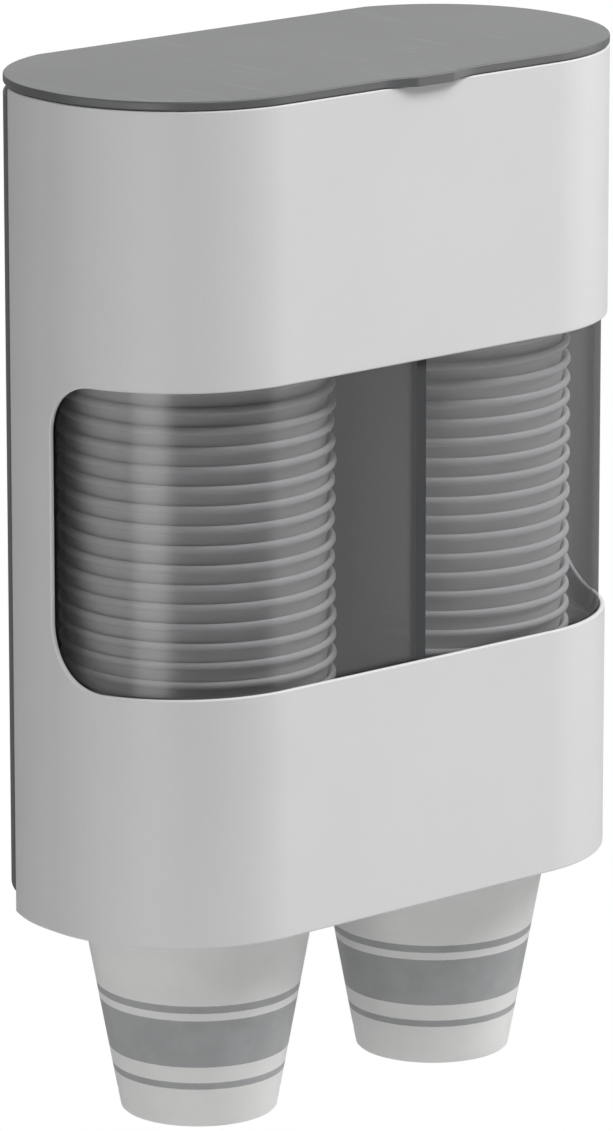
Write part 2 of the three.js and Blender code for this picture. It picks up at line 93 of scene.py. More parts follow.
# What several pieces share: the radius of the holes for the screws, the places of the screws, and
# how far the guide ribs stand off the middle of a row.
SCREW_HOLE = 1.6 * MM
BASE_SCREW_X = 12 * MM
BASE_SCREW_YS = (FRONT + 5.4 * MM, -5.4 * MM)
CLAMP_SCREW_YS = (FRONT + 9 * MM, -9 * MM)
DIVIDER_SCREW_ZS = [BOTTOM + part * (TOP - BOTTOM) for part in (0.2, 0.82)]
GUIDE_X = 14 * MM

# The band of painted shade down the window, over the divider's front edge, and the heights of the printed
# bands over a cup's foot.
DIVIDER_SHADE_X, DIVIDER_SHADE_HALF = 0.7 * MM, 1.65 * MM
BANDS = ((11.0 * MM, 12.9 * MM), (17.5 * MM, 31.1 * MM), (33.3 * MM, 35.4 * MM))


def linear(hex_colour):
    """An sRGB hex colour as linear red, green and blue."""
    parts = [int(hex_colour[i : i + 2], 16) / 255 for i in (1, 3, 5)]
    return tuple(c / 12.92 if c <= 0.04045 else ((c + 0.055) / 1.055) ** 2.4 for c in parts)


# Sizes and colours that a user would change


def length(name, description, default):
    look = {"min": 0, "precision": 5, "subtype": "DISTANCE", "unit": "LENGTH"}
    return bpy.props.FloatProperty(name=name, description=description, default=default, **look)


def colour(name, description, default):
    look = {"size": 3, "min": 0, "max": 1, "subtype": "COLOR"}
    return bpy.props.FloatVectorProperty(
        name=name, description=description, default=linear(default), **look
    )


class DispenserSizes(bpy.types.PropertyGroup):
    """Sizes of the dispenser's moulded pieces"""

    wall: length("Wall", "Thickness of the shell and the cover", 2.4 * MM)
    edge: length("Edge", "Radius of the outer edges of moulded pieces", 0.55 * MM)
    fine_edge: length("Fine edge", "Radius of the edges inside the body", 0.25 * MM)
    opening_bottom: length("Opening bottom", "Height of the opening over the body's lower edge", 67.1 * MM)
    opening_top: length("Opening top", "Height of its upper edge over the body's lower edge", 148.05 * MM)
    opening_rear: length("Opening rear", "How far in front of the wall face the opening ends", 46 * MM)
    low_round: length("Low round", "Radius of the opening's lower corners", 17 * MM)
    high_round: length("High round", "Radius of the opening's upper corners", 14 * MM)
    pane_wall: length("Pane wall", "Thickness of the window", 1.6 * MM)
    pane_recess: length("Pane recess", "How far the window lies behind the shell's face", 1.7 * MM)
    pane_overlap: length("Pane overlap", "How far the window runs on behind the opening's edge", 6 * MM)
    cover_depth: length("Cover depth", "Depth of the rear cover's side walls", 24.5 * MM)
    lip_width: length("Finger lip width", "Width of the lid's finger lip", 34 * MM)
    lip_reach: length("Finger lip reach", "How far the finger lip stands out", 2.3 * MM)
    lip_drop: length("Finger lip drop", "How far the finger lip turns down", 0.5 * MM)
    lip_centre: length("Finger lip centre", "How far right of the middle the lip sits", 2 * MM)


class CupSizes(bpy.types.PropertyGroup):
    """Sizes of one paper cup and of the rows"""

    count: bpy.props.IntProperty(name="Cups", description="Cups in each row", default=27, min=2, max=60)
    height: length("Height", "Height of a cup", 79 * MM)
    foot_radius: length("Foot radius", "Radius of a cup's foot", 20.9 * MM)
    paper: length("Paper", "Thickness of the paper", 0.5 * MM)
    rim_radius: length("Rim radius", "Radius over a cup's rolled rim", 36.7 * MM)
    rim_width: length("Rim width", "Width of the rolled rim", 1.7 * MM)
    rim_height: length("Rim height", "Height of the rolled rim", 2.2 * MM)
    pitch: length("Pitch", "Rise from one nested cup to the next", 5.22 * MM)
    jitter: length("Jitter", "How far a nested cup may stand off its row's axis", 0.22 * MM)


class DispenserColours(bpy.types.PropertyGroup):
    """Colours of the dispenser's plastics"""

    shell: colour("Shell", "Light ABS of the shell", "#D2D2D3")
    cover: colour("Cover", "Dark ABS of the rear cover and the clamp plate", "#4A4B4C")
    lid: colour("Lid", "Dark ABS of the lid", "#58595A")
    window: colour("Window", "What one face of the smoked window lets through", "#E3E3E4")
    divider: colour("Divider", "Polished ABS of the divider", "#757677")
    rings: colour("Claw rings", "Silicone of the claw rings", "#8F9092")
    paper: colour("Cup paper", "Coated board of the cups", "#DCDCDB")
    print: colour("Cup print", "Grey ink of the cups' bands", "#9C9D9E")
    steel: colour("Steel", "Zinc-plated steel of the screws and pins", "#B4B4B6")


def sizes():
    return bpy.context.scene.dispenser_sizes


def cup_sizes():
    return bpy.context.scene.dispenser_cups


def colours():
    return bpy.context.scene.dispenser_colours


# Working with Blender's tools as by hand


def deselect():
    if bpy.context.mode != "OBJECT":
        bpy.ops.object.mode_set(mode="OBJECT")
    bpy.ops.object.select_all(action="DESELECT")


def pick(*pieces):
    deselect()
    for piece in pieces:
        piece.select_set(True)
    bpy.context.view_layer.objects.active = pieces[0]


@contextmanager
def editing(piece):
    """Edit mode on one piece, with all of it selected."""
    pick(piece)
    bpy.ops.object.mode_set(mode="EDIT")
    bpy.ops.mesh.select_all(action="SELECT")
    yield
    bpy.ops.object.mode_set(mode="OBJECT")


def choose(piece, kind, test):
    """Selects in edit mode the vertices or edges that pass a test."""
    bpy.ops.mesh.select_mode(type=kind)
    bpy.ops.mesh.select_all(action="DESELECT")
    form = bmesh.from_edit_mesh(piece.data)
    for part in {"VERT": form.verts, "EDGE": form.edges}[kind]:
        if test(part):
            part.select = True
    form.select_flush_mode()
    bmesh.update_edit_mesh(piece.data)


def named(name):
    """The new primitive, with its name and with its place put into its mesh."""
    piece = bpy.context.object
    piece.name = name
    piece.data.name = name
    bpy.ops.object.transform_apply(location=True, rotation=True, scale=True)
    return piece


def block(name, x0, x1, y0, y1, z0, z1):
    deselect()
    bpy.ops.mesh.primitive_cube_add(size=1, location=((x0 + x1) / 2, (y0 + y1) / 2, (z0 + z1) / 2))
    bpy.context.object.scale = (x1 - x0, y1 - y0, z1 - z0)
    return named(name)


def drum(name, centre, radius, length, turn, facets):
    deselect()
    bpy.ops.mesh.primitive_cylinder_add(
        vertices=facets, radius=radius, depth=length, location=centre, rotation=turn
    )
    return named(name)


def post(name, x, y, z0, z1, radius, facets):
    """An upright drum."""
    return drum(name, (x, y, (z0 + z1) / 2), radius, z1 - z0, (0, 0, 0), facets)


def peg(name, x, z, y0, y1, radius, facets):
    """A drum that points at the wall."""
    return drum(name, (x, (y0 + y1) / 2, z), radius, y1 - y0, (math.pi / 2, 0, 0), facets)


def rod(name, y, z, x0, x1, radius):
    """A drum that lies along the wall."""
    return drum(name, ((x0 + x1) / 2, y, z), radius, x1 - x0, (0, math.pi / 2, 0), 32)


def stadium(name, inset, z0, z1):
    """A solid with the body's outline, moved in by an inset: a drum parted both ways and drawn out."""
    piece = post(name, 0, MIDDLE_Y, z0, z1, CORNER - inset, 144)
    part_at = 0.02 * MM
    with editing(piece):
        for side in SIDES.values():
            for at, way in (
                ((side * part_at, 0, 0), (1, 0, 0)),
                ((0, MIDDLE_Y + side * part_at, 0), (0, 1, 0)),
            ):
                bpy.ops.mesh.select_all(action="SELECT")
                bpy.ops.mesh.bisect(plane_co=at, plane_no=way, threshold=1e-7)
        for side in SIDES.values():
            choose(piece, "VERT", lambda vert: side * vert.co.x > part_at / 2)
            bpy.ops.transform.translate(value=(side * END_X, 0, 0))
            choose(piece, "VERT", lambda vert: side * (vert.co.y - MIDDLE_Y) > part_at / 2)
            bpy.ops.transform.translate(value=(0, side * END_FLAT / 2, 0))
    return piece


def combine(piece, tool, how):
    """Cuts a tool from a piece, joins it or keeps what both share, and clears the tool away."""
    pick(piece)
    step = piece.modifiers.new("combine", "BOOLEAN")
    step.operation = how
    step.solver = "EXACT"
    step.object = tool
    bpy.ops.object.modifier_apply(modifier=step.name)
    bpy.data.objects.remove(tool)
    return piece


def cut(piece, *tools):
    for tool in tools:
        combine(piece, tool, "DIFFERENCE")
    return piece


def add(piece, *tools):
    for tool in tools:
        combine(piece, tool, "UNION")
    return piece


def share(piece, tool):
    return combine(piece, tool, "INTERSECT")


def ring(name, outer, inner, z0, z1):
    return cut(stadium(name, outer, z0, z1), stadium("bore", inner, z0 - MM, z1 + MM))


def side_profile(name, margin):
    """The window opening in side view, grown by a margin, run across the whole width."""
    s = sizes()
    rear = margin - s.opening_rear
    low = BOTTOM + s.opening_bottom - margin
    high = BOTTOM + s.opening_top + margin
    piece = block(name, -FAR, FAR, FRONT - 5 * MM, rear, low, high)
    for z, radius in ((low, s.low_round), (high, s.high_round)):
        with editing(piece):
            choose(
                piece,
                "EDGE",
                lambda edge: all(
                    abs(vert.co.z - z) < 1e-6 and abs(vert.co.y - rear) < 1e-6 for vert in edge.verts
                ),
            )
            bpy.ops.mesh.bevel(offset=radius, segments=28, affect="EDGES")
    return piece


def clean(piece):
    """Merges the doubles that booleans leave."""
    with editing(piece):
        bpy.ops.mesh.remove_doubles(threshold=0.004 * MM)


def split_flats(piece):
    """Parts the faces with many corners into triangles, so that a bevel can't fold them over."""
    with editing(piece):
        bpy.ops.mesh.select_mode(type="FACE")
        bpy.ops.mesh.select_all(action="DESELECT")
        bpy.ops.mesh.select_face_by_sides(number=4, type="GREATER")
        bpy.ops.mesh.quads_convert_to_tris(ngon_method="BEAUTY")
        bpy.ops.mesh.select_mode(type="VERT")


def folded_planes(form):
    """The planes in which a bevel turned a face over, each as a normal and an offset."""
    planes = {}
    for edge in form.edges:
        if len(edge.link_faces) != 2:
            continue
        if edge.link_faces[0].normal.dot(edge.link_faces[1].normal) < -0.999:
            face = max(edge.link_faces, key=lambda face: face.calc_area())
            normal = face.normal.copy()
            offset = normal.dot(face.verts[0].co)
            way = 1 if max(normal, key=abs) > 0 else -1
            key = (*(round(way * value, 3) for value in normal), round(way * offset / MM, 2))
            planes.setdefault(key, (normal, offset))
    return planes.values()


def relay_flats(piece):
    """Lays the folded flats anew: each loses the edges inside it, and its outline is filled."""
    with editing(piece):
        bpy.ops.mesh.select_mode(type="EDGE")
        for normal, offset in folded_planes(bmesh.from_edit_mesh(piece.data)):

            def lies_in(verts):
                return all(abs(normal.dot(vert.co) - offset) < 0.002 * MM for vert in verts)

            form = bmesh.from_edit_mesh(piece.data)
            flat = {face for face in form.faces if lies_in(face.verts)}
            speck = 1e-4 * MM * MM
            if not any(face.normal.dot(normal) < 0 and face.calc_area() > speck for face in flat):
                continue
            choose(
                piece,
                "EDGE",
                lambda edge: len(edge.link_faces) == 2 and all(face in flat for face in edge.link_faces),
            )
            bpy.ops.mesh.delete(type="EDGE")
            choose(piece, "EDGE", lambda edge: len(edge.link_faces) < 2 and lies_in(edge.verts))
            bpy.ops.mesh.fill(use_beauty=True)
        bpy.ops.mesh.select_all(action="SELECT")
        bpy.ops.mesh.normals_make_consistent(inside=False)
        bpy.ops.mesh.select_mode(type="VERT")


def round_edges(piece, radius, segments=3, angle=38, relay=False):
    """Rounds the sharp edges as a mould does, and may lay the folded flats anew."""
    clean(piece)
    split_flats(piece)
    pick(piece)
    step = piece.modifiers.new("edges", "BEVEL")
    step.width = radius
    step.segments = segments
    step.limit_method = "ANGLE"
    step.angle_limit = math.radians(angle)
    step.use_clamp_overlap = False
    step.miter_outer = "MITER_ARC"
    step.loop_slide = False
    bpy.ops.object.modifier_apply(modifier=step.name)
    if relay:
        relay_flats(piece)
    with editing(piece):
        bpy.ops.mesh.dissolve_limited(angle_limit=math.radians(0.3))
    return piece


def smooth(piece, angle=34):
    """Smooth shading up to an angle, with the normals weighted by the size of the faces."""
    pick(piece)
    bpy.ops.object.shade_smooth_by_angle(angle=math.radians(angle))
    step = piece.modifiers.new("normals", "WEIGHTED_NORMAL")
    step.keep_sharp = True
    bpy.ops.object.modifier_apply(modifier=step.name)
    return piece


def merge(name, pieces):
    """Several closed forms as one piece."""
    pick(*pieces)
    bpy.ops.object.join()
    piece = bpy.context.object
    piece.name = name
    piece.data.name = name
    return piece


def turned(name, profile, facets, centre=(0, 0)):
    """A form of revolution: one point drawn out along its profile, then spun round the axis."""
    deselect()
    bpy.ops.mesh.primitive_plane_add(size=MM, location=(0, 0, 0))
    piece = named(name)
    with editing(piece):
        bpy.ops.mesh.merge(type="CENTER")
        last = Vector((profile[0][0], 0, profile[0][1]))
        bpy.ops.transform.translate(value=last)
        for radius, height in profile[1:]:
            point = Vector((radius, 0, height))
            bpy.ops.mesh.extrude_vertices_move(TRANSFORM_OT_translate={"value": point - last})
            last = point
        bpy.ops.mesh.select_all(action="SELECT")
        bpy.ops.mesh.spin(steps=facets, angle=2 * math.pi, center=(0, 0, 0), axis=(0, 0, 1))
        bpy.ops.mesh.select_all(action="SELECT")
        bpy.ops.mesh.remove_doubles(threshold=0.002 * MM)
        bpy.ops.mesh.normals_make_consistent(inside=False)
    return place(piece, Matrix.Translation((*centre, 0)))


def copy_of(piece, name):
    twin = piece.copy()
    twin.data = piece.data.copy()
    twin.name = name
    twin.data.name = name
    bpy.context.collection.objects.link(twin)
    return twin


def place(piece, matrix):
    """Moves a piece and puts the move into its mesh."""
    piece.matrix_world = matrix @ piece.matrix_world
    pick(piece)
    bpy.ops.object.transform_apply(location=True, rotation=True, scale=True)
    return piece


def dress(piece, *finishes):
    piece.data.materials.clear()
    for finish in finishes:
        piece.data.materials.append(finish)


def fit(piece, body, node):
    """Hangs a piece on the body that it rides on, and hides the solid that it stands for."""
    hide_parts(node)
    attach(piece, body)


# Finishes


def add_node(tree, kind, links=None, **settings):
    """Adds one node. Links gives its inputs by name or number: a node, an output or a value."""
    node = tree.nodes.new("ShaderNode" + kind)
    for key, value in settings.items():
        setattr(node, key, value)
    for key, value in (links or {}).items():
        if isinstance(value, bpy.types.Node):
            value = next(output for output in value.outputs if output.enabled)
        if isinstance(value, bpy.types.NodeSocket):
            tree.links.new(value, node.inputs[key])
        else:
            node.inputs[key].default_value = value
    return node


def finish_called(name, build, *values):
    """The finish of that name, built where it isn't made already."""
    if name not in bpy.data.materials:
        finish = bpy.data.materials.new(name)
        finish.use_nodes = True
        tree = finish.node_tree
        tree.nodes.clear()
        node = partial(add_node, tree)
        surface = build(node, node("TexCoord").outputs["Object"], *values)
        node("OutputMaterial", {"Surface": surface})
    return bpy.data.materials[name]


def shade(rgb, amount=1.0):
    """A colour made lighter or darker, with its alpha."""
    return (*(min(1.0, c * amount) for c in rgb[:3]), 1.0)


# Inputs by number are value, from and to of a Map Range, and factor and both colours of a Mix.
WHITE = (1, 1, 1, 1)
SOFTLY = {"interpolation_type": "SMOOTHSTEP"}
IN_COLOUR = {"data_type": "RGBA"}


def moulded_abs(node, place_on, rgb, roughness, depth=0.012 * MM, specular=0.5):
    """Injection-moulded ABS. The tool's spark-eroded texture gives a fine even grain and a satin
    gleam, the melt leaves very faint clouds, and handling leaves hairlines that only the gloss shows.
    The real grain is about 0.1 mm, and is drawn at 0.5 mm so that it shows."""
    grit = node("TexNoise", {"Vector": place_on, "Scale": 1 / (0.5 * MM), "Detail": 2.0, "Roughness": 0.6})
    clouds = node("TexNoise", {"Vector": place_on, "Scale": 1 / (45 * MM), "Detail": 3.0, "Roughness": 0.5})
    slant = node("Mapping", {"Vector": place_on, "Rotation": (0.4, 0.9, 0.3), "Scale": (1.0, 0.035, 1.0)})
    hairlines = node("TexNoise", {"Vector": slant, "Scale": 1 / (1.6 * MM), "Detail": 1.0, "Roughness": 0.4})
    scuffed = node("MapRange", {0: hairlines, 1: 0.66, 2: 0.74}, **SOFTLY)
    cloudy = node("MapRange", {0: clouds, 1: 0.3, 2: 0.7}, **SOFTLY)
    base = node("Mix", {0: cloudy, 6: shade(rgb, 0.985), 7: shade(rgb, 1.012)}, **IN_COLOUR)
    gritty = node("MapRange", {0: grit, 1: 0.3, 2: 0.7}, **SOFTLY)
    specks = node("Mix", {0: gritty, 6: shade(WHITE, 0.975), 7: WHITE}, **IN_COLOUR)
    toned = node("Mix", {0: 1.0, 6: base, 7: specks}, blend_type="MULTIPLY", **IN_COLOUR)
    even = node("MapRange", {0: clouds, 3: roughness - 0.03, 4: roughness + 0.04})
    worn = node("Math", {0: scuffed, 1: -0.05, 2: even}, operation="MULTIPLY_ADD")
    relief = node("Bump", {"Strength": 0.55, "Distance": depth, "Height": grit})
    look = {"Base Color": toned, "Roughness": worn, "IOR": 1.53, "Specular IOR Level": specular}
    return node("BsdfPrincipled", {**look, "Normal": relief})


def smoked_acrylic(node, place_on, passes, dust_colour, shade_band_colour):
    """Smoked acrylic, cast and bent warm. It is clear and grey with a polished face that mirrors more
    the flatter it is seen, and its faces roll very slightly, so that long reflections waver. Fine
    wiping marks soften them and a little dust lies on it. A dark band down its middle is painted
    shade, laid over the divider's front edge to darken the line that the edge shows there."""
    roll = node("TexNoise", {"Vector": place_on, "Scale": 1 / (30 * MM), "Detail": 1.0})
    dust = node("TexNoise", {"Vector": place_on, "Scale": 1 / (0.8 * MM), "Detail": 3.0, "Roughness": 0.7})
    specks = node("MapRange", {0: dust, 1: 0.62, 2: 0.8}, **SOFTLY)
    gloss = node("MapRange", {0: specks, 3: 0.26, 4: 0.34})
    veil = node("MapRange", {0: specks, 3: 0.004, 4: 0.03})
    relief = node("Bump", {"Strength": 0.3, "Distance": 0.15 * MM, "Height": roll})
    facing = node("LayerWeight", {"Blend": 0.5}).outputs["Facing"]
    flatter = node("Math", {0: facing, 1: 5.0}, operation="POWER")
    mirrored = node("Math", {0: flatter, 1: 0.3, 2: 0.04}, operation="MULTIPLY_ADD")
    clear = node("BsdfTransparent", {"Color": shade(passes)})
    face = node("BsdfAnisotropic", {"Color": WHITE, "Roughness": gloss, "Normal": relief})
    dusty = node("BsdfDiffuse", {"Color": shade(dust_colour)})
    polished = node("MixShader", {0: mirrored, 1: clear, 2: face})
    sheet = node("MixShader", {0: veil, 1: polished, 2: dusty})
    # A band of painted shade down the window's middle, over the divider's front edge: a dark diffuse colour,
    # here called ink, takes the place of the sheet.
    across = node("SeparateXYZ", {"Vector": place_on}).outputs["X"]
    past_shade_band = node("Math", {0: across, 1: DIVIDER_SHADE_X}, operation="SUBTRACT")
    away = node("Math", {0: past_shade_band}, operation="ABSOLUTE")
    band = node("MapRange", {0: away, 1: DIVIDER_SHADE_HALF + 0.06 * MM, 2: DIVIDER_SHADE_HALF - 0.06 * MM}, **SOFTLY)
    ink = node("BsdfDiffuse", {"Color": shade(shade_band_colour)})
    return node("MixShader", {0: band, 1: sheet, 2: ink})


def coated_board(node, place_on, rgb, ink, foot, centre_x, printed):
    """Cup board with a thin water-resistant coating. Its fibres give faint clouds and a soft uneven
    gleam, the sheet's overlap makes a low step down one side, and the bands are flexo-printed in one
    grey ink that is a little glossier and mottled as such ink is."""
    own = node("Mapping", {"Vector": place_on, "Location": (-centre_x, -ROW_Y, -foot)})
    axes = node("SeparateXYZ", {"Vector": own})
    fibres = node("TexNoise", {"Vector": place_on, "Scale": 1 / (0.9 * MM), "Detail": 4.0, "Roughness": 0.65})
    clouds = node("TexNoise", {"Vector": place_on, "Scale": 1 / (9 * MM), "Detail": 3.0})
    cloudy = node("MapRange", {0: clouds, 1: 0.3, 2: 0.7}, **SOFTLY)
    tint = node("Mix", {0: cloudy, 6: shade(rgb, 0.975), 7: shade(rgb, 1.01)}, **IN_COLOUR)
    roughness = node("MapRange", {0: fibres, 3: 0.4, 4: 0.56})
    if printed:
        # The edge of the ink wanders by about a tenth of a millimetre.
        uneven = node("Math", {0: fibres, 1: 0.5}, operation="SUBTRACT")
        wander = node("Math", {0: uneven, 1: 0.3 * MM, 2: axes.outputs["Z"]}, operation="MULTIPLY_ADD")
        mask = 0.0
        for low, high in BANDS:
            above = node("MapRange", {0: wander, 1: low - 0.08 * MM, 2: low + 0.08 * MM}, **SOFTLY)
            below = node("MapRange", {0: wander, 1: high + 0.08 * MM, 2: high - 0.08 * MM}, **SOFTLY)
            band = node("Math", {0: above, 1: below}, operation="MULTIPLY")
            mask = node("Math", {0: mask, 1: band}, operation="MAXIMUM")
        mottled = node("MapRange", {0: clouds, 1: 0.35, 2: 0.65}, **SOFTLY)
        inked = node("Mix", {0: mottled, 6: shade(ink, 0.95), 7: shade(ink, 1.04)}, **IN_COLOUR)
        tint = node("Mix", {0: mask, 6: tint, 7: inked}, **IN_COLOUR)
        roughness = node("Math", {0: mask, 1: -0.07, 2: roughness}, operation="MULTIPLY_ADD")
    around = node("Math", {0: axes.outputs["Y"], 1: axes.outputs["X"]}, operation="ARCTAN2")
    seam_start = node("MapRange", {0: around, 1: 1.20, 2: 1.215}, **SOFTLY)
    seam_end = node("MapRange", {0: around, 1: 1.48, 2: 1.36}, **SOFTLY)
    seam = node("Math", {0: seam_start, 1: seam_end}, operation="MULTIPLY")
    relief = node("Bump", {"Strength": 0.5, "Distance": 0.02 * MM, "Height": fibres})
    step = node("Bump", {"Strength": 1.0, "Distance": 0.25 * MM, "Height": seam, "Normal": relief})
    return node("BsdfPrincipled", {"Base Color": tint, "Roughness": roughness, "IOR": 1.46, "Normal": step})


def moulded_silicone(node, place_on, rgb):
    """Silicone from a matt mould: soft and a little waxy, with a fine even bloom that picks up dust."""
    bloom = node("TexNoise", {"Vector": place_on, "Scale": 1 / (0.6 * MM), "Detail": 3.0, "Roughness": 0.6})
    lint = node("TexNoise", {"Vector": place_on, "Scale": 1 / (6 * MM), "Detail": 4.0})
    dusty = node("MapRange", {0: lint, 1: 0.35, 2: 0.75}, **SOFTLY)
    tint = node("Mix", {0: dusty, 6: shade(rgb), 7: shade(rgb, 1.12)}, **IN_COLOUR)
    matt = node("MapRange", {0: lint, 3: 0.48, 4: 0.68})
    relief = node("Bump", {"Strength": 0.5, "Distance": 0.02 * MM, "Height": bloom})
    waxy = {"Subsurface Weight": 0.15, "Subsurface Scale": 0.8 * MM}
    look = {"Base Color": tint, "Roughness": matt, "IOR": 1.41, "Normal": relief}
    return node("BsdfPrincipled", {**look, **waxy})


def plated_steel(node, place_on, rgb):
    """Cold-headed steel with bright zinc plate: a soft cool gleam with fine turning marks and
    a faint cloudiness where the plate passivated."""
    marks = node("TexNoise", {"Vector": place_on, "Scale": 1 / (0.35 * MM), "Detail": 3.0})
    haze = node("TexNoise", {"Vector": place_on, "Scale": 1 / (1.8 * MM), "Detail": 2.0})
    hazy = node("MapRange", {0: haze, 1: 0.35, 2: 0.7}, **SOFTLY)
    tint = node("Mix", {0: hazy, 6: shade(rgb, 0.86), 7: shade(rgb, 1.05)}, **IN_COLOUR)
    gleam = node("MapRange", {0: haze, 3: 0.24, 4: 0.42})
    relief = node("Bump", {"Strength": 0.35, "Distance": 0.01 * MM, "Height": marks})
    return node("BsdfPrincipled", {"Base Color": tint, "Metallic": 1.0, "Roughness": gleam, "Normal": relief})


def light_abs():
    return finish_called("satin_light_abs", moulded_abs, tuple(colours().shell), 0.42)


def dark_abs():
    return finish_called("satin_dark_abs", moulded_abs, tuple(colours().cover), 0.45)


def lid_abs():
    return finish_called("satin_lid_abs", moulded_abs, tuple(colours().lid), 0.36)


# Forms that several pieces share


def stakes():
    """Places of the heat stakes over and under the opening."""
    s = sizes()
    away = s.pane_overlap + 4 * MM
    return [
        (side * 14 * MM, z)
        for side in SIDES.values()
        for z in (BOTTOM + s.opening_bottom - away, BOTTOM + s.opening_top + away)
    ]


def row_room():
    """Radius of the room that a row of cups has round it."""
    return cup_sizes().rim_radius + 1.2 * MM


def guide_reach(away):
    """How far a guide rib reaches in from a face that the rows stand so far away from."""
    return away - math.sqrt(row_room() ** 2 - GUIDE_X**2)


def guide_ribs(row, y0, y1, z0):
    """The two ribs that guide a row's rims on one side of it."""
    ribs = []
    for x in (row * ROW_X - GUIDE_X, row * ROW_X + GUIDE_X):
        rib = block("rib", x - 0.8 * MM, x + 0.8 * MM, y0, y1, z0, TOP - 10.3 * MM)
        ribs.append(round_edges(rib, sizes().fine_edge))
    return ribs


def base_boss(side, y):
    """The boss that one of the base plate's screws bites into."""
    x = side * BASE_SCREW_X
    boss = post("boss", x, y, BOTTOM + 8.7 * MM, BOTTOM + 17.3 * MM, 3.2 * MM, 40)
    cut(boss, post("pilot", x, y, BOTTOM + 8 * MM, BOTTOM + 15.3 * MM, SCREW_HOLE, 24))
    return round_edges(boss, sizes().fine_edge)


# Pieces


class BuildShell(bpy.types.Operator):
    """Builds the light moulded shell with the window's cut-out and seat"""

    bl_idname = "dispenser.build_shell"
    bl_label = "Shell"

    def execute(self, context):
        s = sizes()
        shell = ring("front_shell_moulding", 0, s.wall, BOTTOM, TOP)
        cut(
            shell,
            block("rear", -FAR, FAR, -s.cover_depth, FAR, BOTTOM - FAR, TOP + FAR),
            side_profile("opening", 0),
        )
        seat = ring("seat", s.pane_recess - 0.3 * MM, s.wall + MM, BOTTOM + 2 * MM, TOP - 2 * MM)
        share(seat, side_profile("seat_limit", s.pane_overlap + 0.3 * MM))
        cut(shell, seat)
        round_edges(shell, s.edge)
        forms = [shell]
        rib_root, rib_tip = FRONT + s.wall - 0.2 * MM, FRONT + guide_reach(ROW_Y - FRONT)
        for row in SIDES.values():
            forms += guide_ribs(row, rib_root, rib_tip, BOTTOM + s.opening_top + 12 * MM)
        pane_back = FRONT + s.pane_recess + s.pane_wall
        for x, z in stakes():
            stem = peg("stake", x, z, FRONT + s.pane_recess - 0.5 * MM, pane_back + 0.5 * MM, 1.3 * MM, 24)
            head = peg("stake_head", x, z, pane_back + 0.3 * MM, pane_back + 1.2 * MM, 2.3 * MM, 32)
            forms += [stem, round_edges(head, 0.4 * MM)]
        forms += [base_boss(side, BASE_SCREW_YS[0]) for side in SIDES.values()]
        piece = smooth(merge("front_shell_moulding", forms))
        dress(piece, light_abs())
        fit(piece, "housing", "front_shell")
        return {"FINISHED"}


class BuildWindow(bpy.types.Operator):
    """Builds the smoked window, bent round both ends of the body"""

    bl_idname = "dispenser.build_window"
    bl_label = "Window"

    def execute(self, context):
        s = sizes()
        inset = s.pane_recess
        face, back = FRONT + inset, FRONT + inset + s.pane_wall
        pane = ring("smoked_window_sheet", inset, inset + s.pane_wall, BOTTOM + 2 * MM, TOP - 2 * MM)
        share(pane, side_profile("outline", s.pane_overlap))
        for x, z in stakes():
            add(pane, block("ear", x - 4.5 * MM, x + 4.5 * MM, face, back, z - 5 * MM, z + 5 * MM))
            cut(pane, peg("hole", x, z, face - MM, back + MM, 1.6 * MM, 32))
        round_edges(pane, 0.3 * MM, relay=True)
        smooth(pane)
        # The last colour is the dark painted shade of the band down the window.
        look = (tuple(colours().window), linear("#B8B8B8"), linear("#464748"))
        dress(pane, finish_called("smoked_acrylic", smoked_acrylic, *look))
        fit(pane, "housing", "smoked_window")
        return {"FINISHED"}


